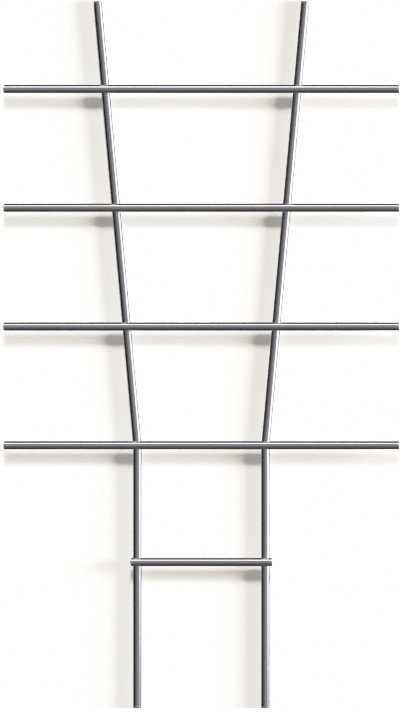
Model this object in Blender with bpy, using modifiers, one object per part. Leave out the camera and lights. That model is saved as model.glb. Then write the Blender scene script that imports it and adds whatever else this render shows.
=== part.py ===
"""Garden trellis of welded round steel tube, for climbing plants.

Two uprights stand in the soil and splay outwards above a single bend. Long crossbars lie across
their front at an even pitch, and a short crossbar ties the legs together. Every crossing is welded
round the point where the tubes touch, and every tube end is closed by a plug.

Axes: X runs across, Y runs from the crossbars in front to the uprights behind, Z is up.
The origin is midway between the leg ends, on the plane where crossbars and uprights meet.
Sizes are in metres.
"""

import math

import bmesh
import bpy
from mathutils import Vector

# Tube stock, the same for every upright and crossbar
TUBE_DIAMETER = 0.012
TUBE_WALL = 0.001

# Heights, measured up the trellis from one crossing to the next
LEG_BELOW_SHORT_BAR = 0.222
SHORT_BAR_TO_LONG_BAR = 0.177
LONG_BAR_PITCH = 0.180
LONG_BAR_COUNT = 4
TOP_OVERHANG = 0.134

# Widths
LEG_SPACING = 0.1943
LONG_BAR_LENGTH = 0.600
SHORT_BAR_OVERHANG = 0.0043

# The single bend of an upright, behind the lowest long crossbar
SPLAY_ANGLE = math.radians(5.13)
BEND_RADIUS = 0.060

# End plug: a head as wide as the tube, and a barbed spigot that grips the bore
PLUG_HEAD_THICKNESS = 0.0024
PLUG_EDGE_RADIUS = 0.0014
SPIGOT_LEAD = 0.0015
SPIGOT_BARB_DEPTH = 0.0008
SPIGOT_BARB_PITCH = 0.0035
SPIGOT_BARB_COUNT = 2
SPIGOT_TIP_LENGTH = 0.0020
SPIGOT_TIP_TAPER = 0.0010

# Weld bead: a ring that stays this far inside the edges of the two tubes
BEAD_SETBACK = 0.0018
BEAD_RADIUS = 0.0014

# Gap between pieces that touch on the real trellis
SEAT_GAP = 0.0003

# Fineness of the round shapes
TUBE_SIDES = 24
BEND_STEPS = 4
PLUG_EDGE_STEPS = 2
BEAD_RING_STEPS = 16
BEAD_SIDES = 8

# Worked out from the sizes above
TUBE_RADIUS = TUBE_DIAMETER / 2
BARB_RADIUS = TUBE_RADIUS - TUBE_WALL - SEAT_GAP
LAYER_OFFSET = TUBE_RADIUS + SEAT_GAP / 2
PLUG_REACH = PLUG_HEAD_THICKNESS + SEAT_GAP
BEAD_RING_RADIUS = TUBE_RADIUS - BEAD_SETBACK
SHORT_BAR_LENGTH = LEG_SPACING + TUBE_DIAMETER + 2 * SHORT_BAR_OVERHANG
SHORT_BAR_HEIGHT = LEG_BELOW_SHORT_BAR
BEND_HEIGHT = LEG_BELOW_SHORT_BAR + SHORT_BAR_TO_LONG_BAR
BEND_TANGENT = BEND_RADIUS * math.tan(SPLAY_ANGLE / 2)
TOP_BAR_HEIGHT = BEND_HEIGHT + (LONG_BAR_COUNT - 1) * LONG_BAR_PITCH
UPRIGHT_HEIGHT = TOP_BAR_HEIGHT + TOP_OVERHANG

SIDES = {"left": -1, "right": 1}


def clear_scene():
    for obj in list(bpy.data.objects):
        bpy.data.objects.remove(obj)


def add_collection(name):
    collection = bpy.data.collections.new(name)
    bpy.context.scene.collection.children.link(collection)
    return collection


def steel(name, colour, roughness):
    material = bpy.data.materials.new(name)
    material.use_nodes = True
    shader = material.node_tree.nodes["Principled BSDF"]
    shader.inputs["Base Color"].default_value = (*colour, 1.0)
    shader.inputs["Metallic"].default_value = 1.0
    shader.inputs["Roughness"].default_value = roughness
    return material


def add_part(name, data, material):
    """A visible piece, hung on the trellis's own empty."""
    obj = bpy.data.objects.new(name, data)
    obj.parent = trellis
    parts.objects.link(obj)
    if not data.materials:
        data.materials.append(material)
    return obj


def round_curve(name, points, radius, sides, caps=False, ring=False):
    """A round section swept along straight stretches between the points."""
    curve = bpy.data.curves.new(name, "CURVE")
    curve.dimensions = "3D"
    curve.bevel_depth = radius
    curve.bevel_resolution = (sides - 4) // 2
    curve.use_fill_caps = caps
    spline = curve.splines.new("POLY")
    spline.points.add(len(points) - 1)
    for spline_point, place in zip(spline.points, points):
        spline_point.co = (*place, 1.0)
    spline.use_cyclic_u = ring
    return curve


def mesh_from_curve(name, curve):
    """The swept section as a mesh that a Boolean can use, with its caps welded on."""
    guide = bpy.data.objects.new(name, curve)
    cutters.objects.link(guide)
    graph = bpy.context.evaluated_depsgraph_get()
    mesh = bpy.data.meshes.new_from_object(guide.evaluated_get(graph))
    bpy.data.objects.remove(guide)
    shape = bmesh.new()
    shape.from_mesh(mesh)
    bmesh.ops.remove_doubles(shape, verts=shape.verts, dist=1e-6)
    bmesh.ops.recalc_face_normals(shape, faces=shape.faces)
    shape.to_mesh(mesh)
    shape.free()
    return mesh


def add_clearance(name, points):
    """A hidden cutter: the space a tube takes, grown by the gap that its welds keep."""
    curve = round_curve(name, points, TUBE_RADIUS + SEAT_GAP, TUBE_SIDES, caps=True)
    obj = bpy.data.objects.new(name, mesh_from_curve(name, curve))
    obj.hide_render = True
    obj.display_type = "WIRE"
    cutters.objects.link(obj)
    return obj


def add_tube(name, points, material):
    """An open tube, its wall built inwards from the outer skin."""
    curve = round_curve(name, points, TUBE_RADIUS, TUBE_SIDES)
    obj = add_part(name, mesh_from_curve(name, curve), material)
    obj.data.shade_smooth()
    wall = obj.modifiers.new("Wall", "SOLIDIFY")
    wall.thickness = TUBE_WALL
    wall.offset = -1.0
    wall.use_even_offset = True
    return obj


def plug_profile():
    """Half section of a plug from the middle of its end face down to the tip of its spigot."""
    points = [(0.0, 0.0)]
    edge_centre = TUBE_RADIUS - PLUG_EDGE_RADIUS
    for step in range(PLUG_EDGE_STEPS + 1):
        turn = math.pi / 2 * step / PLUG_EDGE_STEPS
        rise = PLUG_EDGE_RADIUS * (math.cos(turn) - 1.0)
        points.append((edge_centre + PLUG_EDGE_RADIUS * math.sin(turn), rise))
    core_radius = BARB_RADIUS - SPIGOT_BARB_DEPTH
    depth = PLUG_HEAD_THICKNESS
    points.append((TUBE_RADIUS, -depth))
    points.append((core_radius, -depth))
    depth += SPIGOT_LEAD
    points.append((core_radius, -depth))
    for _ in range(SPIGOT_BARB_COUNT):
        points.append((BARB_RADIUS, -depth))
        depth += SPIGOT_BARB_PITCH
        points.append((core_radius, -depth))
    depth += SPIGOT_TIP_LENGTH
    points.append((core_radius - SPIGOT_TIP_TAPER, -depth))
    points.append((0.0, -depth))
    return points


def plug_mesh():
    """The profile as a line in the XZ plane, ready for a Screw modifier to turn."""
    mesh = bpy.data.meshes.new("end_plug")
    shape = bmesh.new()
    corners = [shape.verts.new((across, 0.0, up)) for across, up in plug_profile()]
    for corner, next_corner in zip(corners, corners[1:]):
        shape.edges.new((corner, next_corner))
    shape.to_mesh(mesh)
    shape.free()
    return mesh


def add_plug(name, mesh, end_face, outwards, material):
    """A plug whose end face is centred on end_face and looks outwards."""
    obj = add_part(name, mesh, material)
    obj.location = end_face
    obj.rotation_euler = Vector(outwards).to_track_quat("Z", "Y").to_euler()
    turned = obj.modifiers.new("Turned", "SCREW")
    turned.steps = TUBE_SIDES
    turned.render_steps = TUBE_SIDES
    turned.use_merge_vertices = True
    turned.merge_threshold = 1e-6
    return obj


def splay_direction(side):
    return Vector((side * math.sin(SPLAY_ANGLE), 0.0, math.cos(SPLAY_ANGLE)))


def upright_top(side):
    """Middle of the end face at the top of an upright."""
    spread = (UPRIGHT_HEIGHT - BEND_HEIGHT) * math.tan(SPLAY_ANGLE)
    return Vector((side * (LEG_SPACING / 2 + spread), LAYER_OFFSET, UPRIGHT_HEIGHT))


def upright_foot(side):
    """Middle of the end face at the foot of an upright."""
    return Vector((side * LEG_SPACING / 2, LAYER_OFFSET, 0.0))


def bend_point(side, turn):
    """Point on the bend's arc after the tube has turned through this angle."""
    across = LEG_SPACING / 2 + BEND_RADIUS * (1.0 - math.cos(turn))
    up = BEND_HEIGHT - BEND_TANGENT + BEND_RADIUS * math.sin(turn)
    return Vector((side * across, LAYER_OFFSET, up))


def upright_path(side):
    """Centre line of an upright's tube, from foot to top, leaving room for its plugs."""
    points = [upright_foot(side) + Vector((0.0, 0.0, PLUG_REACH))]
    for step in range(BEND_STEPS + 1):
        points.append(bend_point(side, SPLAY_ANGLE * step / BEND_STEPS))
    points.append(upright_top(side) - PLUG_REACH * splay_direction(side))
    return points


def upright_at(height):
    """How far out an upright's centre line is at a height, and how far it leans there."""
    bend_start = BEND_HEIGHT - BEND_TANGENT
    bend_end = BEND_HEIGHT + BEND_TANGENT * math.cos(SPLAY_ANGLE)
    if height <= bend_start:
        return LEG_SPACING / 2, 0.0
    if height >= bend_end:
        spread = (height - BEND_HEIGHT) * math.tan(SPLAY_ANGLE)
        return LEG_SPACING / 2 + spread, SPLAY_ANGLE
    lean = math.asin((height - bend_start) / BEND_RADIUS)
    return LEG_SPACING / 2 + BEND_RADIUS * (1.0 - math.cos(lean)), lean


def bar_path(length, height):
    """Centre line of a crossbar's tube, leaving room for its plugs."""
    reach = length / 2 - PLUG_REACH
    return [(-reach, -LAYER_OFFSET, height), (reach, -LAYER_OFFSET, height)]


def bead_path(side, height):
    """Ring round a crossing, midway in the wedge between the faces of its two tubes."""
    out, lean = upright_at(height)
    points = []
    for step in range(BEAD_RING_STEPS):
        turn = math.tau * step / BEAD_RING_STEPS
        across = BEAD_RING_RADIUS * math.cos(turn)
        up = BEAD_RING_RADIUS * math.sin(turn)
        off_upright = across * math.cos(lean) - up * math.sin(lean)
        bar_face = math.sqrt(TUBE_RADIUS**2 - up**2) - LAYER_OFFSET
        upright_face = LAYER_OFFSET - math.sqrt(TUBE_RADIUS**2 - off_upright**2)
        points.append((side * (out + across), (bar_face + upright_face) / 2, height + up))
    return points


def add_weld(name, side, height, tubes, material):
    """A bead laid round a crossing and cut to the two tubes that it joins."""
    curve = round_curve(name, bead_path(side, height), BEAD_RADIUS, BEAD_SIDES, ring=True)
    obj = add_part(name, mesh_from_curve(name, curve), material)
    obj.data.shade_smooth()
    for tube in tubes:
        cut = obj.modifiers.new("Seat on " + tube.name, "BOOLEAN")
        cut.operation = "DIFFERENCE"
        cut.solver = "EXACT"
        cut.object = tube
    return obj


def add_upright(side_name):
    """An upright with its two plugs. Returns the cutter that its welds are shaped by."""
    side = SIDES[side_name]
    name = "upright_" + side_name
    add_tube(name, upright_path(side), tube_steel)
    add_plug(name + "_foot_plug", plug, upright_foot(side), (0.0, 0.0, -1.0), plug_steel)
    add_plug(name + "_top_plug", plug, upright_top(side), splay_direction(side), plug_steel)
    return add_clearance(name + "_clearance", upright_path(side))


def add_crossbar(name, length, height):
    """A crossbar with its two plugs, welded to both uprights."""
    add_tube(name, bar_path(length, height), tube_steel)
    clearance = add_clearance(name + "_clearance", bar_path(length, height))
    for side_name, side in SIDES.items():
        end_face = (side * length / 2, -LAYER_OFFSET, height)
        add_plug(f"{name}_{side_name}_plug", plug, end_face, (side, 0.0, 0.0), plug_steel)
        tubes = (clearance, upright_clearances[side_name])
        add_weld(f"{name}_{side_name}_weld", side, height, tubes, weld_steel)


clear_scene()
parts = add_collection("Metal trellis")
cutters = add_collection("Cutters")
trellis = bpy.data.objects.new("trellis", None)
parts.objects.link(trellis)

tube_steel = steel("Polished stainless tube", (0.55, 0.56, 0.58), 0.24)
plug_steel = steel("Stainless end plug", (0.50, 0.51, 0.53), 0.30)
weld_steel = steel("Weld bead", (0.42, 0.41, 0.40), 0.40)
plug = plug_mesh()

upright_clearances = {side_name: add_upright(side_name) for side_name in SIDES}
for number in range(LONG_BAR_COUNT):
    bar_height = TOP_BAR_HEIGHT - number * LONG_BAR_PITCH
    add_crossbar(f"long_crossbar_{number + 1}", LONG_BAR_LENGTH, bar_height)
add_crossbar("short_crossbar", SHORT_BAR_LENGTH, SHORT_BAR_HEIGHT)
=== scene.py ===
"""The finished garden trellis: polished stainless tube, pressed-in end plugs and weld beads.

It stands on a pale floor with its back to a white wall. Sizes are in metres, with X across,
Y from the crossbars in front to the uprights behind, and Z up.
"""

import math

import bmesh
import bpy
from mathutils import Matrix, Vector


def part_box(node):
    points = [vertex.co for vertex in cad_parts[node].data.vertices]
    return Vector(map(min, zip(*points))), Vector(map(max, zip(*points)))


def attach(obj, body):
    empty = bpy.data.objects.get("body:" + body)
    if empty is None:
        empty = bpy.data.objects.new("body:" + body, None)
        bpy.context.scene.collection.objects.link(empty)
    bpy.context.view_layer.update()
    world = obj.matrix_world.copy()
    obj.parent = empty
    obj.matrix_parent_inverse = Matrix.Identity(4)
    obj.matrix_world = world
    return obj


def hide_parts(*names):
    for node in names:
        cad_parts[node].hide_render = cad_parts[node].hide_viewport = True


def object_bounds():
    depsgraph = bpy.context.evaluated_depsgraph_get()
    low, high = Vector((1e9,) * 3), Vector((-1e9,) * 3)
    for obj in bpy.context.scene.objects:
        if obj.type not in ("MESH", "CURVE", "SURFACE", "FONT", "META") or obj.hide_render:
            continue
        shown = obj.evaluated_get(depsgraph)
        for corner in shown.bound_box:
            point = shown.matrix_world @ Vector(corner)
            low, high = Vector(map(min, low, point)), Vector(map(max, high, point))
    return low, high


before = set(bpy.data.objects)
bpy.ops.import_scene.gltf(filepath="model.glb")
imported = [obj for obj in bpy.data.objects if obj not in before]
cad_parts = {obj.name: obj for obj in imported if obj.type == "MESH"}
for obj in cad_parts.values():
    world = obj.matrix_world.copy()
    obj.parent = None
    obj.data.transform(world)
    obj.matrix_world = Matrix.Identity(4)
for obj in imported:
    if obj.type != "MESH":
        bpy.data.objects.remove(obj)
cad_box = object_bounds()


# Tube stock
# All uprights and crossbars are cut from one stainless tube, drawn with a thin wall and polished
# lengthwise on a belt while it is still straight. The saw's sharp rims are broken at both ends.
UP = Vector((0.0, 0.0, 1.0))
TUBE_WALL = 0.001
TUBE_FACETS = 72
RIM_BREAK = 0.0002
RIM_BREAK_STEPS = 2
RIM_SUPPORT = 0.0005
SHARP_FOLD = math.radians(60)
POLISHED_STEEL = (0.600, 0.601, 0.640)
DULLER_STEEL = (0.570, 0.571, 0.604)


def extent(node):
    """The size of a plain solid's box."""
    low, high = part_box(node)
    return high - low


TUBE_RADIUS = extent("long_crossbar_1").z / 2


def add_node(tree, kind, sockets=None, **settings):
    """A shader node with its settings made and each named socket set or linked."""
    node = tree.nodes.new(kind)
    for name, value in settings.items():
        setattr(node, name, value)
    for name, value in (sockets or {}).items():
        if isinstance(value, bpy.types.NodeSocket):
            tree.links.new(value, node.inputs[name])
        else:
            node.inputs[name].default_value = value
    return node


def new_group(name, inputs, outputs):
    """An empty shader group with these sockets, and its two end nodes."""
    group = bpy.data.node_groups.new(name, "ShaderNodeTree")
    for label, kind in inputs:
        group.interface.new_socket(label, in_out="INPUT", socket_type=kind)
    for label, kind in outputs:
        group.interface.new_socket(label, in_out="OUTPUT", socket_type=kind)
    return group, group.nodes.new("NodeGroupInput"), group.nodes.new("NodeGroupOutput")


def noise(tree, place, width, detail, drawn_out=1.0):
    """Noise whose grains are this wide in metres, and drawn out along Z by this factor."""
    mapping = {"Vector": place, "Scale": (1.0, 1.0, 1.0 / drawn_out)}
    grain_place = add_node(tree, "ShaderNodeMapping", mapping).outputs["Vector"]
    sockets = {"Vector": grain_place, "Scale": 1.0 / width, "Detail": detail}
    return add_node(tree, "ShaderNodeTexNoise", sockets).outputs["Fac"]


def ramp(tree, value, none_at, full_at, full=1.0, rise="SMOOTHSTEP"):
    """Rises from nothing at one value to full at the other."""
    sockets = {"Value": value, "From Min": none_at, "From Max": full_at, "To Max": full}
    return add_node(tree, "ShaderNodeMapRange", sockets, interpolation_type=rise).outputs["Result"]


# The polish and its wear as noise, and the noise values over which the patches come in.
BELT_LINES = {"width": 0.00016, "detail": 2.0, "drawn_out": 160.0}
BELT_STREAKS = {"width": 0.0011, "detail": 1.0, "drawn_out": 90.0}
HANDLING = {"width": 0.009, "detail": 3.0, "drawn_out": 3.0}
HANDLING_SHOWS = (0.52, 0.74)


def belt_polish_group():
    """Fine lines along the tube, broader streaks beside them, and small dull patches of handling."""
    inputs = [("Place", "NodeSocketVector")]
    outputs = [(label, "NodeSocketFloat") for label in ("Lines", "Streaks", "Handling")]
    group, given, result = new_group("Belt polish", inputs, outputs)
    place = given.outputs["Place"]
    patches = noise(group, place, **HANDLING)
    group.links.new(noise(group, place, **BELT_LINES), result.inputs["Lines"])
    group.links.new(noise(group, place, **BELT_STREAKS), result.inputs["Streaks"])
    group.links.new(ramp(group, patches, *HANDLING_SHOWS), result.inputs["Handling"])
    return group


# The same for the scratches.
HAIRLINES = {"width": 0.00022, "detail": 0.0, "drawn_out": 60.0}
HAIRLINES_SHOW = (0.70, 0.78)


def scratch_group():
    """Short hairline scratches along the piece, turned from it by the slant."""
    inputs = [("Place", "NodeSocketVector"), ("Slant", "NodeSocketFloat")]
    outputs = [("Scratches", "NodeSocketFloat")]
    group, given, result = new_group("Hairline scratches", inputs, outputs)
    turn = {"Vector": given.outputs["Place"], "Angle": given.outputs["Slant"]}
    slanted = add_node(group, "ShaderNodeVectorRotate", turn, rotation_type="Y_AXIS").outputs["Vector"]
    hair = noise(group, slanted, **HAIRLINES)
    group.links.new(ramp(group, hair, *HAIRLINES_SHOW), result.inputs["Scratches"])
    return group


def metal(name):
    """A new material of bare metal, and its tree."""
    material = bpy.data.materials.new(name)
    material.use_nodes = True
    tree = material.node_tree
    tree.nodes["Principled BSDF"].inputs["Metallic"].default_value = 1.0
    return material, tree


def dress(tree, colour, roughness, normal):
    """Gives a metal these nodes' colour, roughness and normal."""
    shader = tree.nodes["Principled BSDF"]
    tree.links.new(colour, shader.inputs["Base Color"])
    tree.links.new(roughness, shader.inputs["Roughness"])
    tree.links.new(normal, shader.inputs["Normal"])


def relief(tree, height, depth, strength):
    """The normal of a surface that rises by this depth in metres where the height is one."""
    sockets = {"Height": height, "Distance": depth, "Strength": strength}
    return add_node(tree, "ShaderNodeBump", sockets).outputs["Normal"]


def mixed_colour(tree, amount, colour, other):
    """Goes from the first colour to the other as the amount rises."""
    mix = add_node(tree, "ShaderNodeMix", data_type="RGBA")
    given = {socket.identifier: socket for socket in mix.inputs}
    tree.links.new(amount, given["Factor_Float"])
    given["A_Color"].default_value = (*colour, 1.0)
    given["B_Color"].default_value = (*other, 1.0)
    return next(socket for socket in mix.outputs if socket.identifier == "Result_Color")


def weighted_sum(tree, base, terms):
    """The base value plus each term times its weight."""
    total = base
    for value, weight in terms:
        sockets = {0: value, 1: weight, 2: total}
        total = add_node(tree, "ShaderNodeMath", sockets, operation="MULTIPLY_ADD").outputs["Value"]
    return total


belt_polish = belt_polish_group()
scratches = scratch_group()

# How rough the bare polish is, and what each mark on it adds.
TUBE_ROUGHNESS = 0.11
STREAK_ROUGHNESS = 0.04
HANDLING_ROUGHNESS = 0.02
HAIRLINE_ROUGHNESS = 0.05
HAIRLINE_SLANT = math.radians(3)
HAIRLINE_CUT = 0.6
LINE_DEPTH = 0.000003
LINE_STRENGTH = 0.30


def tube_finish():
    """Belt-polished stainless tube, read from the tube as it lay straight."""
    material, tree = metal("Polished stainless tube")
    place = add_node(tree, "ShaderNodeAttribute", attribute_name="straight_place").outputs["Vector"]
    polish = add_node(tree, "ShaderNodeGroup", {"Place": place}, node_tree=belt_polish).outputs
    marks = {"Place": place, "Slant": HAIRLINE_SLANT}
    hairlines = add_node(tree, "ShaderNodeGroup", marks, node_tree=scratches).outputs["Scratches"]
    colour = mixed_colour(tree, polish["Streaks"], POLISHED_STEEL, DULLER_STEEL)
    rough = weighted_sum(tree, TUBE_ROUGHNESS, [(polish["Streaks"], STREAK_ROUGHNESS),
                                                (polish["Handling"], HANDLING_ROUGHNESS),
                                                (hairlines, HAIRLINE_ROUGHNESS)])
    height = weighted_sum(tree, 0.0, [(polish["Lines"], 1.0), (hairlines, -HAIRLINE_CUT)])
    dress(tree, colour, rough, relief(tree, height, LINE_DEPTH, LINE_STRENGTH))
    return material


tube_steel = tube_finish()
stock_used = 0.0


def straight_tube(length, rings):
    """An open tube standing on the origin, with rings of edges near its rims and at these heights."""
    shape = bmesh.new()
    bmesh.ops.create_circle(shape, segments=TUBE_FACETS, radius=TUBE_RADIUS)
    bmesh.ops.create_circle(shape, segments=TUBE_FACETS, radius=TUBE_RADIUS - TUBE_WALL)
    foot = bmesh.ops.bridge_loops(shape, edges=shape.edges[:])["faces"]
    grown = bmesh.ops.extrude_face_region(shape, geom=foot)["geom"]
    corners = [part for part in grown if isinstance(part, bmesh.types.BMVert)]
    bmesh.ops.translate(shape, verts=corners, vec=UP * length)
    for height in (RIM_SUPPORT, *rings, length - RIM_SUPPORT):
        whole = shape.verts[:] + shape.edges[:] + shape.faces[:]
        bmesh.ops.bisect_plane(shape, geom=whole, plane_co=UP * height, plane_no=UP)
    bmesh.ops.recalc_face_normals(shape, faces=shape.faces[:])
    rims = [edge for edge in shape.edges if edge.calc_face_angle() > SHARP_FOLD]
    bmesh.ops.bevel(shape, geom=rims, offset=RIM_BREAK, segments=RIM_BREAK_STEPS, profile=0.5,
                    affect="EDGES", material=-1)
    return shape


def mark_stock(shape, length):
    """Keeps where each point lay on the straight stock, which the polish follows round a bend."""
    global stock_used
    straight_place = shape.verts.layers.float_vector.new("straight_place")
    for corner in shape.verts:
        corner[straight_place] = corner.co + UP * stock_used
    stock_used += length


# Uprights
# Each upright is one length of the tube, bent once on a roller behind the lowest long crossbar, so
# that its upper part splays outwards. Its foot goes into the soil.
SIDES = {"left": -1, "right": 1}
DEPTH = Vector((0.0, 1.0, 0.0))
SPLAY_ANGLE = math.radians(5.13)
BEND_RADIUS = 0.060
BEND_STEPS = 10
PLUG_HEAD = 0.0024
PLUG_SEAM = 0.0001
PLUG_EDGE_RADIUS = 0.0014
SHADED_FOLD = math.radians(50)


def middle(node):
    """The middle of a plain solid's box."""
    low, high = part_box(node)
    return (low + high) / 2


bend_height = middle("long_crossbar_4").z
bend_start = bend_height - BEND_RADIUS * math.tan(SPLAY_ANGLE / 2)
bend_length = BEND_RADIUS * SPLAY_ANGLE
top_of_frame = cad_box[1].z
tube_start = PLUG_HEAD + PLUG_SEAM


def bent_place(place, out, side):
    """Where a point of the straight tube goes once the tube is bent outwards."""
    turn = min(max(place.z - bend_start, 0.0) / BEND_RADIUS, SPLAY_ANGLE)
    beyond = max(place.z - bend_start - bend_length, 0.0)
    across = out + side * (BEND_RADIUS * (1.0 - math.cos(turn)) + beyond * math.sin(turn))
    up = min(place.z, bend_start) + BEND_RADIUS * math.sin(turn) + beyond * math.cos(turn)
    across += place.x * math.cos(turn)
    up -= side * place.x * math.sin(turn)
    return Vector((across, place.y, up))


def upright_length():
    """Length along the centre line from the floor to the middle of the top end face."""
    end_face_rise = (TUBE_RADIUS - PLUG_EDGE_RADIUS) * math.sin(SPLAY_ANGLE)
    rise = top_of_frame - end_face_rise - bend_start - BEND_RADIUS * math.sin(SPLAY_ANGLE)
    return bend_start + bend_length + rise / math.cos(SPLAY_ANGLE)


def fit(node, shape, finish):
    """The finished piece as an object that takes the place of its plain solid."""
    mesh = bpy.data.meshes.new(node)
    shape.to_mesh(mesh)
    shape.free()
    mesh.shade_smooth()
    mesh.set_sharp_from_angle(angle=SHADED_FOLD)
    mesh.materials.append(finish)
    piece = bpy.data.objects.new(node + "_finished", mesh)
    bpy.context.collection.objects.link(piece)
    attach(piece, "root")
    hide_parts(node)
    return piece


def add_upright(side_name):
    """An upright on this side, cut from the stock and bent."""
    node = "upright_" + side_name
    side = SIDES[side_name]
    length = upright_length() - 2 * tube_start
    bend_rings = [bend_start + bend_length * step / BEND_STEPS - tube_start
                  for step in range(BEND_STEPS + 1)]
    shape = straight_tube(length, bend_rings)
    mark_stock(shape, length)
    foot = middle(node + "_foot_plug")
    for corner in shape.verts:
        corner.co = bent_place(corner.co + UP * tube_start, foot.x, side) + DEPTH * foot.y
    fit(node, shape, tube_steel)


for side_name in SIDES:
    add_upright(side_name)


# Crossbars
# Four long crossbars and one short one, cut straight from the same tube. They lie whole across the
# front of the uprights and are welded to them where they touch.
BARS = ["long_crossbar_1", "long_crossbar_2", "long_crossbar_3", "long_crossbar_4", "short_crossbar"]
LYING = Matrix.Rotation(math.radians(90), 4, "Y")


def bar_reach(node):
    """Half the length of a crossbar, over the end faces of its plugs."""
    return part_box(node + "_right_plug")[1].x


def add_crossbar(node):
    """A crossbar cut from the stock and laid level."""
    length = 2 * (bar_reach(node) - tube_start)
    shape = straight_tube(length, [])
    mark_stock(shape, length)
    centre = middle(node)
    start = Matrix.Translation((-length / 2, centre.y, centre.z))
    bmesh.ops.transform(shape, matrix=start @ LYING, verts=shape.verts[:])
    fit(node, shape, tube_steel)


for bar in BARS:
    add_crossbar(bar)


# End plugs
# A turned stainless plug closes each tube end. Its head is as wide as the tube, with a rounded edge
# and a faintly domed face, and its barbed spigot is pressed into the bore.
ACROSS = Vector((1.0, 0.0, 0.0))
PLUG_EDGE_STEPS = 8
PLUG_DOME = 0.00012
PLUG_SEAT_BREAK = 0.00015
PLUG_FACETS = 72
BORE_FIT = 0.00005
BARB_DEPTH = 0.0008
BARB_COUNT = 2
BARB_PITCH = 0.0035
SPIGOT_LEAD = 0.0015
SPIGOT_TIP = 0.0020
SPIGOT_TAPER = 0.0010
SEAM_MERGE = 0.000001
PLUG_STEEL = (0.585, 0.595, 0.612)
TURNED_STEEL = (0.520, 0.530, 0.545)


def plug_profile():
    """Half section of a plug, from the middle of its end face down to the tip of its spigot."""
    points = [(0.0, 0.0)]
    shoulder = TUBE_RADIUS - PLUG_EDGE_RADIUS
    for step in range(PLUG_EDGE_STEPS + 1):
        turn = math.pi / 2 * step / PLUG_EDGE_STEPS
        drop = PLUG_DOME + (PLUG_EDGE_RADIUS - PLUG_DOME) * (1.0 - math.cos(turn))
        points.append((shoulder + PLUG_EDGE_RADIUS * math.sin(turn), -drop))
    points.append((TUBE_RADIUS, PLUG_SEAT_BREAK - PLUG_HEAD))
    points.append((TUBE_RADIUS - PLUG_SEAT_BREAK, -PLUG_HEAD))
    barb = TUBE_RADIUS - TUBE_WALL - BORE_FIT
    core = barb - BARB_DEPTH
    points.append((core, -PLUG_HEAD))
    depth = PLUG_HEAD + SPIGOT_LEAD
    points.append((core, -depth))
    for _ in range(BARB_COUNT):
        points.append((barb, -depth))
        depth += BARB_PITCH
        points.append((core, -depth))
    depth += SPIGOT_TIP
    points.append((core - SPIGOT_TAPER, -depth))
    points.append((0.0, -depth))
    return points


def turned_plug():
    """A plug as it leaves the lathe, on the Z axis with its end face looking up from the origin."""
    shape = bmesh.new()
    corners = [shape.verts.new((across, 0.0, up)) for across, up in plug_profile()]
    edges = [shape.edges.new(pair) for pair in zip(corners, corners[1:])]
    bmesh.ops.spin(shape, geom=corners + edges, cent=(0.0, 0.0, 0.0), axis=UP, angle=math.tau,
                   steps=PLUG_FACETS, use_merge=True)
    bmesh.ops.remove_doubles(shape, verts=shape.verts[:], dist=SEAM_MERGE)
    bmesh.ops.recalc_face_normals(shape, faces=shape.faces[:])
    lathe_place = shape.verts.layers.float_vector.new("lathe_place")
    for corner in shape.verts:
        corner[lathe_place] = corner.co
    return shape


# How rough the polished edge is, and what the satin face and each mark add. The satin starts where
# the rounded edge ends, and FACE_BLEND is how far it fades in to either side of that line.
EDGE_ROUGHNESS = 0.12
SATIN_ROUGHNESS = 0.20
STAIN_ROUGHNESS = 0.06
SCRATCH_ROUGHNESS = 0.06
SCRATCH_SLANT = math.radians(60)
FACE_BLEND = 0.0004
RING_DEPTH = 0.000003
RING_STRENGTH = 0.35
LATHE_RINGS = {"width": 0.00009, "detail": 1.0}
STAIN = {"width": 0.0030, "detail": 2.0}


def plug_finish():
    """Turned stainless steel, with rings round its axis, a polished edge and a satin face."""
    material, tree = metal("Turned stainless plug")
    place = add_node(tree, "ShaderNodeAttribute", attribute_name="lathe_place").outputs["Vector"]
    axis = add_node(tree, "ShaderNodeSeparateXYZ", {"Vector": place}).outputs
    flat = add_node(tree, "ShaderNodeCombineXYZ", {"X": axis["X"], "Y": axis["Y"]}).outputs["Vector"]
    from_axis = add_node(tree, "ShaderNodeVectorMath", {0: flat}, operation="LENGTH").outputs["Value"]
    ring_place = add_node(tree, "ShaderNodeCombineXYZ", {"X": from_axis, "Z": axis["Z"]})
    rings = noise(tree, ring_place.outputs["Vector"], **LATHE_RINGS)
    marks = {"Place": place, "Slant": SCRATCH_SLANT}
    hairlines = add_node(tree, "ShaderNodeGroup", marks, node_tree=scratches).outputs["Scratches"]
    stain = noise(tree, place, **STAIN)
    face_edge = TUBE_RADIUS - PLUG_EDGE_RADIUS
    on_face = ramp(tree, from_axis, face_edge + FACE_BLEND, face_edge - FACE_BLEND)
    colour = mixed_colour(tree, stain, PLUG_STEEL, TURNED_STEEL)
    rough = weighted_sum(tree, EDGE_ROUGHNESS, [(on_face, SATIN_ROUGHNESS), (stain, STAIN_ROUGHNESS),
                                                (hairlines, SCRATCH_ROUGHNESS)])
    height = weighted_sum(tree, 0.0, [(rings, 1.0), (hairlines, -1.0)])
    dress(tree, colour, rough, relief(tree, height, RING_DEPTH, RING_STRENGTH))
    return material


plug_steel = plug_finish()


def add_plug(node, end_face, outwards):
    """A plug whose end face is centred on end_face and looks outwards."""
    shape = turned_plug()
    turn = Vector(outwards).to_track_quat("Z", "Y").to_matrix().to_4x4()
    bmesh.ops.transform(shape, matrix=Matrix.Translation(end_face) @ turn, verts=shape.verts[:])
    fit(node, shape, plug_steel)


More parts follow.
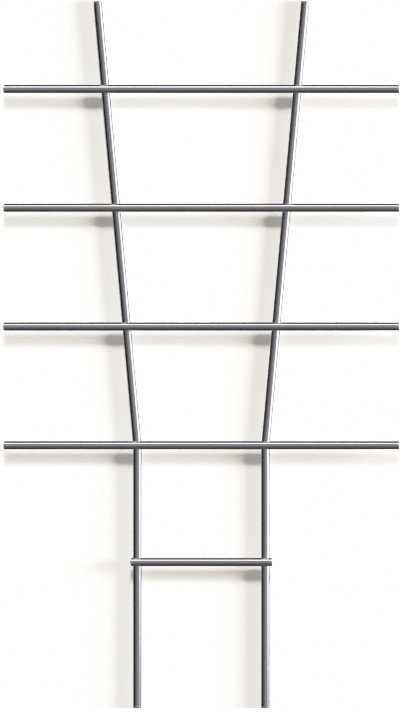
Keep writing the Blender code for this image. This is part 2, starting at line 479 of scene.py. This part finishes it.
for side_name, side in SIDES.items():
    foot = middle(f"upright_{side_name}_foot_plug")
    foot_face = Vector((foot.x, foot.y, 0.0))
    top_face = bent_place(UP * upright_length(), foot.x, side) + DEPTH * foot.y
    splay = Vector((side * math.sin(SPLAY_ANGLE), 0.0, math.cos(SPLAY_ANGLE)))
    add_plug(f"upright_{side_name}_foot_plug", foot_face, -UP)
    add_plug(f"upright_{side_name}_top_plug", top_face, splay)
    for bar in BARS:
        bar_end = Vector((side * bar_reach(bar), middle(bar).y, middle(bar).z))
        add_plug(f"{bar}_{side_name}_plug", bar_end, side * ACROSS)


# Weld beads
# A bead is laid by hand in the wedge round each point where a crossbar touches an upright, so it is
# almost hidden from the front. It has the close ripples of its puddle and a faint straw tint.
BEAD_RING_RADIUS = 0.0042
BEAD_RADIUS = 0.0014
BEAD_STEPS = 192
BEAD_FACETS = 16
RIPPLE_COUNT = 26
RIPPLE_HEIGHT = 0.10
WANDER = 0.04
WANDER_WAVES = [(2, 1, 1.0), (5, -3, 0.5)]
BEAD_STEEL = (0.52, 0.50, 0.47)
STRAW_TINT = (0.50, 0.42, 0.31)
TINT_CLOUDS = {"width": 0.0022, "detail": 2.0}
BRUSHED_GRAIN = {"width": 0.00018, "detail": 3.0}
BEAD_ROUGHNESS = 0.24
GRAIN_ROUGHNESS = 0.16
GRAIN_DEPTH = 0.00002
GRAIN_STRENGTH = 0.5

layer_offset = (middle("upright_right").y - middle("long_crossbar_1").y) / 2


def wedge_middle(across, up, lean):
    """Depth midway between the faces of the two tubes beside a crossing."""
    off_upright = across * math.cos(lean) - up * math.sin(lean)
    bar_face = math.sqrt(TUBE_RADIUS**2 - up**2) - layer_offset
    upright_face = layer_offset - math.sqrt(TUBE_RADIUS**2 - off_upright**2)
    return (bar_face + upright_face) / 2


def bead_swell(turn, start):
    """How thick the bead is round the crossing: lapped ripples, and a slow wander of the hand.

    Each wave of the wander has its count round the bead, its shift with the start, and its height.
    """
    ripple = abs(math.sin((turn + start) * RIPPLE_COUNT / 2))
    wander = sum(high * math.sin(count * turn + shift * start) for count, shift, high in WANDER_WAVES)
    return 1.0 - RIPPLE_HEIGHT * (1.0 - ripple) + WANDER * wander


def upright_at(height):
    """How far across an upright's centre line is at a height, and how far it leans there."""
    rise = height - bend_start
    lean = math.asin(min(max(rise / BEND_RADIUS, 0.0), math.sin(SPLAY_ANGLE)))
    beyond = max(rise - BEND_RADIUS * math.sin(SPLAY_ANGLE), 0.0)
    spread = BEND_RADIUS * (1.0 - math.cos(lean)) + beyond * math.tan(lean)
    return middle("upright_right_foot_plug").x + spread, lean


def weld_bead(lean, start):
    """A rippled bead round a crossing at the origin, laid in the wedge between its two tubes."""
    shape = bmesh.new()
    section = bmesh.ops.create_circle(shape, segments=BEAD_FACETS, radius=BEAD_RADIUS)["verts"]
    seat = Matrix.Translation(ACROSS * BEAD_RING_RADIUS)
    bmesh.ops.transform(shape, matrix=seat, verts=section)
    bmesh.ops.spin(shape, geom=shape.verts[:] + shape.edges[:], cent=(0.0, 0.0, 0.0), axis=DEPTH,
                   angle=math.tau, steps=BEAD_STEPS, use_merge=True)
    bmesh.ops.remove_doubles(shape, verts=shape.verts[:], dist=SEAM_MERGE)
    bmesh.ops.recalc_face_normals(shape, faces=shape.faces[:])
    bead_place = shape.verts.layers.float_vector.new("bead_place")
    for corner in shape.verts:
        turn = math.atan2(corner.co.z, corner.co.x)
        core = Vector((math.cos(turn), 0.0, math.sin(turn))) * BEAD_RING_RADIUS
        corner.co = core + (corner.co - core) * bead_swell(turn, start)
        corner[bead_place] = corner.co + DEPTH * start
        corner.co.y += wedge_middle(core.x, core.z, lean)
    return shape


def weld_finish():
    """Brushed weld metal, with faint clouds of straw tint left by the heat."""
    material, tree = metal("Brushed weld bead")
    place = add_node(tree, "ShaderNodeAttribute", attribute_name="bead_place").outputs["Vector"]
    colour = mixed_colour(tree, noise(tree, place, **TINT_CLOUDS), BEAD_STEEL, STRAW_TINT)
    grain = noise(tree, place, **BRUSHED_GRAIN)
    rough = weighted_sum(tree, BEAD_ROUGHNESS, [(grain, GRAIN_ROUGHNESS)])
    dress(tree, colour, rough, relief(tree, grain, GRAIN_DEPTH, GRAIN_STRENGTH))
    return material


weld_steel = weld_finish()

for bar_number, bar in enumerate(BARS):
    for side_name, side in SIDES.items():
        height = middle(bar).z
        across, lean = upright_at(height)
        bead = weld_bead(lean, float(bar_number))
        if side < 0:
            bmesh.ops.scale(bead, vec=(-1.0, 1.0, 1.0), verts=bead.verts[:])
            bmesh.ops.reverse_faces(bead, faces=bead.faces[:])
        bmesh.ops.translate(bead, vec=(side * across, 0.0, height), verts=bead.verts[:])
        fit(f"{bar}_{side_name}_weld", bead, weld_steel)


# Floor and wall
# A pale studio floor, and a white wall that the uprights touch. Both are left out of the object.
# They are seen from their front only, so that views from behind and below stay open.
FLOOR_SIZE = 30.0
WALL_WIDTH = 8.0
WALL_HEIGHT = 5.0
WALL_CLEARANCE = 0.00035
PAPER_WHITE = (0.905, 0.881, 0.848)
# The darker white carries painted shade on the right, mixed with the paper's own grain.
PAPER_SHADE_AND_GRAIN = (0.841, 0.810, 0.773)
# The glow is painted fill light: the paper gives it, though it is no lamp.
PAPER_GLOW = 0.2724
PAPER_GRAIN = {"width": 0.004, "detail": 2.0}
STANDING = Matrix.Rotation(math.radians(90), 4, "X")

# Painted shade: the paper's colour darkens towards the right between these two places across, which makes
# most of the difference between its two whites. Its grain makes the rest.
PAINTED_SHADE_ACROSS = (-0.05, 0.08)
SHADE_BY_SIDE = 0.8
DULLED_BY_GRAIN = 0.2


def studio_material(name):
    """A new material for a sheet of the studio, and its empty tree."""
    material = bpy.data.materials.new(name)
    material.use_nodes = True
    tree = material.node_tree
    tree.nodes.clear()
    return material, tree


def shader_node(tree, kind, sockets=None):
    """What a shader node puts out, with each of its sockets set or linked."""
    return add_node(tree, kind, sockets).outputs[0]


def paper_finish():
    """White paper with painted shade towards the right. It also glows with painted fill light, which
    keeps its shadows light.
    """
    material, tree = studio_material("Studio paper")
    place = add_node(tree, "ShaderNodeTexCoord").outputs["Object"]
    grain = noise(tree, place, **PAPER_GRAIN)
    across = add_node(tree, "ShaderNodeSeparateXYZ", {"Vector": place}).outputs["X"]
    # Painted shade: the paper darkens towards the right.
    painted_shade_to_right = ramp(tree, across, *PAINTED_SHADE_ACROSS)
    shade_and_grain = weighted_sum(tree, 0.0, [(painted_shade_to_right, SHADE_BY_SIDE), (grain, DULLED_BY_GRAIN)])
    colour = mixed_colour(tree, shade_and_grain, PAPER_WHITE, PAPER_SHADE_AND_GRAIN)
    lit = shader_node(tree, "ShaderNodeBsdfDiffuse", {"Color": colour})
    glowing = {"Color": (*PAPER_WHITE, 1.0), "Strength": PAPER_GLOW}
    glow = shader_node(tree, "ShaderNodeEmission", glowing)
    paper = shader_node(tree, "ShaderNodeAddShader", {0: lit, 1: glow})
    clear = shader_node(tree, "ShaderNodeBsdfTransparent")
    back = add_node(tree, "ShaderNodeNewGeometry").outputs["Backfacing"]
    shown = shader_node(tree, "ShaderNodeMixShader", {0: back, 1: paper, 2: clear})
    add_node(tree, "ShaderNodeOutputMaterial", {"Surface": shown})
    return material


def add_sheet(name, width, depth, place, finish):
    """A flat sheet that belongs to the studio, made from one a metre square."""
    shape = bmesh.new()
    bmesh.ops.create_grid(shape, x_segments=1, y_segments=1, size=0.5)
    bmesh.ops.scale(shape, vec=(width, depth, 1.0), verts=shape.verts[:])
    bmesh.ops.transform(shape, matrix=place, verts=shape.verts[:])
    mesh = bpy.data.meshes.new(name)
    shape.to_mesh(mesh)
    shape.free()
    mesh.materials.append(finish)
    sheet = bpy.data.objects.new(name, mesh)
    bpy.context.collection.objects.link(sheet)
    return sheet


studio_paper = paper_finish()
wall_face = cad_box[1].y + WALL_CLEARANCE
wall_place = Matrix.Translation((0.0, wall_face, WALL_HEIGHT / 2)) @ STANDING
papers = [add_sheet("floor", FLOOR_SIZE, FLOOR_SIZE, Matrix.Identity(4), studio_paper),
          add_sheet("wall", WALL_WIDTH, WALL_HEIGHT, wall_place, studio_paper)]
for paper in papers:
    paper.visible_diffuse = False
    paper.visible_glossy = False


# Lights that shape the wall and floor
# A soft lamp high in front, and a tall panel far to the right that rakes the wall from the floor to
# above head height. Neither shows in the metal, which mirrors the bright screen and the room.
HIGH_LAMP_RISE = math.radians(48.9)
HIGH_LAMP_WIDTH = math.radians(13.8)
HIGH_LAMP_POWER = 1.192
HIGH_LAMP_AWAY = 3.0
PANEL_ACROSS = 4.2
PANEL_DEPTH = 1.95
PANEL_FOOT = 0.10
PANEL_TOP = 1.60
PANEL_POWER = 265.0


def add_lamp(name, kind, power, place, facing):
    """A lamp that shines the way it faces, lights the paper and is not mirrored."""
    light = bpy.data.lights.new(name, kind)
    light.energy = power
    lamp = bpy.data.objects.new(name, light)
    bpy.context.collection.objects.link(lamp)
    lamp.location = place
    lamp.rotation_euler = facing.to_track_quat("-Z", "Y").to_euler()
    lamp.visible_camera = False
    lamp.visible_glossy = False
    return light


high_facing = Vector((0.0, math.cos(HIGH_LAMP_RISE), -math.sin(HIGH_LAMP_RISE)))
high_place = -HIGH_LAMP_AWAY * high_facing
high_lamp = add_lamp("high_lamp", "SUN", HIGH_LAMP_POWER, high_place, high_facing)
high_lamp.angle = HIGH_LAMP_WIDTH

panel_place = Vector((PANEL_ACROSS, wall_face - PANEL_DEPTH / 2, (PANEL_FOOT + PANEL_TOP) / 2))
side_panel = add_lamp("side_panel", "AREA", PANEL_POWER, panel_place, -ACROSS)
side_panel.shape = "RECTANGLE"
side_panel.size = PANEL_DEPTH
side_panel.size_y = PANEL_TOP - PANEL_FOOT


# Bright screen
# A glowing screen to the right that only the metal mirrors, as the white line down each upright. It
# is dimmer near the floor, and fades out above, towards the front and behind.
SCREEN_ACROSS = 2.0
SCREEN_FRONT = -8.0
SCREEN_BACK = 5.0
SCREEN_HEIGHT = 6.0
SCREEN_TURN = Matrix.Rotation(math.radians(90), 4, "Y")
SCREEN_LIGHT = 1.45
SCREEN_WHITE = (1.0, 0.995, 0.955, 1.0)

# Where the glow is none and where it is full: by height, and by the angle round from straight ahead.
GLOW_FROM_BELOW = (-0.60, 0.26)
GLOW_FROM_ABOVE = (2.05, 1.45)
GLOW_FROM_FRONT = (math.radians(5), math.radians(75))
GLOW_FROM_BEHIND = (math.radians(130), math.radians(109))


def math_node(tree, operation, *values):
    """What a maths node makes of these values."""
    return add_node(tree, "ShaderNodeMath", dict(enumerate(values)), operation=operation).outputs["Value"]


def product(tree, *factors):
    """The first factor times all the others."""
    result = factors[0]
    for factor in factors[1:]:
        result = math_node(tree, "MULTIPLY", result, factor)
    return result


def screen_finish():
    """Clear, and glowing by how far round to the side each point stands, seen from the frame."""
    material, tree = studio_material("Bright screen")
    place = add_node(tree, "ShaderNodeNewGeometry").outputs["Position"]
    axis = add_node(tree, "ShaderNodeSeparateXYZ", {"Vector": place}).outputs
    ahead = math_node(tree, "MULTIPLY", axis["Y"], -1.0)
    sideways = math_node(tree, "ARCTAN2", axis["X"], ahead)
    low_part = ramp(tree, axis["Z"], *GLOW_FROM_BELOW, SCREEN_LIGHT, "LINEAR")
    high_part = ramp(tree, axis["Z"], *GLOW_FROM_ABOVE)
    front_part = ramp(tree, sideways, *GLOW_FROM_FRONT, rise="LINEAR")
    back_part = ramp(tree, sideways, *GLOW_FROM_BEHIND)
    glow = product(tree, low_part, high_part, front_part, front_part, back_part)
    light = shader_node(tree, "ShaderNodeEmission", {"Color": SCREEN_WHITE, "Strength": glow})
    clear = shader_node(tree, "ShaderNodeBsdfTransparent")
    both = shader_node(tree, "ShaderNodeAddShader", {0: light, 1: clear})
    add_node(tree, "ShaderNodeOutputMaterial", {"Surface": both})
    return material


screen_place = Matrix.Translation((SCREEN_ACROSS, (SCREEN_FRONT + SCREEN_BACK) / 2, 0.0))
screen = add_sheet("bright_screen", SCREEN_HEIGHT, SCREEN_BACK - SCREEN_FRONT,
                   screen_place @ SCREEN_TURN, screen_finish())
screen.visible_camera = False
screen.visible_diffuse = False
screen.visible_shadow = False


# Room
# What the metal mirrors beyond the screen: a grey room that darkens to the sides and behind, with
# a ceiling light, lighter corners and a lit far end. The camera sees pale air, and the paper gets
# a weak even fill.
ROOM_FILL = 0.14
DARKEST = 0.007
ROOM_GREY = 0.343
AHEAD_GREY = 0.230
AHEAD_FOCUS = 8.0
FLOOR_LIGHT = 0.04
CEILING_LIGHT = 2.06
CEILING_OFF_CENTRE = 0.5
CEILING_CENTRE = 0.002
CORNER_LIGHT = 0.8
CORNER_LIGHT_UPWARDS = 0.5
FAR_END_LIGHT = 0.8
ROOM_WHITE = (0.80, 0.80, 0.80)
CEILING_WHITE = (0.80, 0.795, 0.765)
AIR_WHITE = (0.58, 0.58, 0.58, 1.0)

# Where each light is none and where it is full: by the angle up from straight ahead for the first
# two, and by one part of the direction for the others.
CEILING_FROM_FRONT = (math.radians(24.5), math.radians(60.5))
CEILING_FROM_BEHIND = (math.radians(89.5), math.radians(74.5))
CEILING_TO_SIDE = (0.75, 0.45)
CEILING_TO_CENTRE = (0.040, 0.006)
CORNERS_TO_SIDE = (0.18, 0.45)
CORNERS_OFF_LEVEL = (0.15, 0.35)
FLOOR_DOWNWARDS = (-0.50, -0.85)
FAR_END_BEHIND = (0.88, 0.94)
FAR_END_TO_RIGHT = (0.30, 0.05)


def room_light(tree):
    """How bright the room is in each direction, and its colour, as the metal mirrors it."""
    direction = add_node(tree, "ShaderNodeTexCoord").outputs["Generated"]
    axis = add_node(tree, "ShaderNodeSeparateXYZ", {"Vector": direction}).outputs
    ahead = math_node(tree, "MULTIPLY", axis["Y"], -1.0)
    front = math_node(tree, "MAXIMUM", ahead, 0.0)
    upwards = math_node(tree, "ARCTAN2", axis["Z"], ahead)
    off_side = math_node(tree, "ABSOLUTE", axis["X"])
    off_level = math_node(tree, "ABSOLUTE", axis["Z"])
    straight_ahead = math_node(tree, "POWER", front, AHEAD_FOCUS)
    grey = weighted_sum(tree, 0.0, [(front, ROOM_GREY), (straight_ahead, AHEAD_GREY)])
    floor = ramp(tree, axis["Z"], *FLOOR_DOWNWARDS, FLOOR_LIGHT)
    off_centre = math_node(tree, "ABSOLUTE", math_node(tree, "SUBTRACT", axis["X"], CEILING_CENTRE))
    centre_part = ramp(tree, off_centre, *CEILING_TO_CENTRE, 1.0 - CEILING_OFF_CENTRE)
    ceiling = product(tree, ramp(tree, upwards, *CEILING_FROM_FRONT, CEILING_LIGHT),
                      ramp(tree, upwards, *CEILING_FROM_BEHIND),
                      ramp(tree, off_side, *CEILING_TO_SIDE),
                      math_node(tree, "ADD", centre_part, CEILING_OFF_CENTRE))
    corners = product(tree, ramp(tree, off_side, *CORNERS_TO_SIDE),
                      ramp(tree, off_level, *CORNERS_OFF_LEVEL),
                      math_node(tree, "MULTIPLY_ADD", axis["Z"], CORNER_LIGHT_UPWARDS, CORNER_LIGHT))
    far_end = product(tree, ramp(tree, axis["Y"], *FAR_END_BEHIND, FAR_END_LIGHT),
                      ramp(tree, axis["X"], *FAR_END_TO_RIGHT))
    light = DARKEST
    for part in (grey, floor, ceiling, corners, far_end):
        light = math_node(tree, "ADD", part, light)
    return light, mixed_colour(tree, ceiling, ROOM_WHITE, CEILING_WHITE)


def build_room():
    """The room as the metal mirrors it, the fill on the paper, and the air that the camera sees."""
    world = bpy.data.worlds.new("studio")
    bpy.context.scene.world = world
    world.use_nodes = True
    tree = world.node_tree
    tree.nodes.clear()
    light, tint = room_light(tree)
    mirrored = shader_node(tree, "ShaderNodeBackground", {"Color": tint, "Strength": light})
    fill = shader_node(tree, "ShaderNodeBackground", {"Strength": ROOM_FILL})
    air = shader_node(tree, "ShaderNodeBackground", {"Color": AIR_WHITE})
    path = add_node(tree, "ShaderNodeLightPath").outputs
    inner = shader_node(tree, "ShaderNodeMixShader", {0: path["Is Glossy Ray"], 1: fill, 2: mirrored})
    outer = shader_node(tree, "ShaderNodeMixShader", {0: path["Is Camera Ray"], 1: inner, 2: air})
    add_node(tree, "ShaderNodeOutputWorld", {"Surface": outer})


build_room()


# Camera
# A long lens from twelve metres away, square on and level with about the middle of the trellis,
# because the view is all but free of perspective.
CAMERA_DISTANCE = 12.0
CAMERA_ACROSS = -0.0022
CAMERA_HEIGHT = 0.53052
CAMERA_REACH = 100.0
SENSOR = 36.0
FRAMED_HEIGHT = 1.08649

camera_data = bpy.data.cameras.new("camera")
camera_data.sensor_width = SENSOR
camera_data.lens = SENSOR * CAMERA_DISTANCE / FRAMED_HEIGHT
camera_data.clip_end = CAMERA_REACH
camera = bpy.data.objects.new("camera", camera_data)
bpy.context.collection.objects.link(camera)
camera.location = (CAMERA_ACROSS, middle("long_crossbar_1").y - CAMERA_DISTANCE, CAMERA_HEIGHT)
camera.rotation_euler = (math.radians(90), 0.0, 0.0)
bpy.context.scene.camera = camera


# Print
# The print's contrast: a soft toe, a steep middle and a soft shoulder, from light to printed level.
# Light at PAPER_BASE_WHITE, a little under the lit wall, comes out pure white.
PAPER_BASE_WHITE = 0.7715
PRINTED = {0.10: 0.085, 0.20: 0.153, 0.28: 0.263, 0.34: 0.338, 0.38: 0.373, 0.42: 0.478, 0.48: 0.650,
           0.545: 0.787, 0.585: 0.844, 0.623: 0.886, 0.658: 0.931, 0.714: 0.989}
ALL_COLOURS = 3

look = bpy.context.scene.view_settings
look.view_transform = "Standard"
look.use_curve_mapping = True
look.curve_mapping.white_level = (PAPER_BASE_WHITE, PAPER_BASE_WHITE, PAPER_BASE_WHITE)
tone = look.curve_mapping.curves[ALL_COLOURS]
for light_level, printed in PRINTED.items():
    tone.points.new(light_level / PAPER_BASE_WHITE, printed)
look.curve_mapping.update()
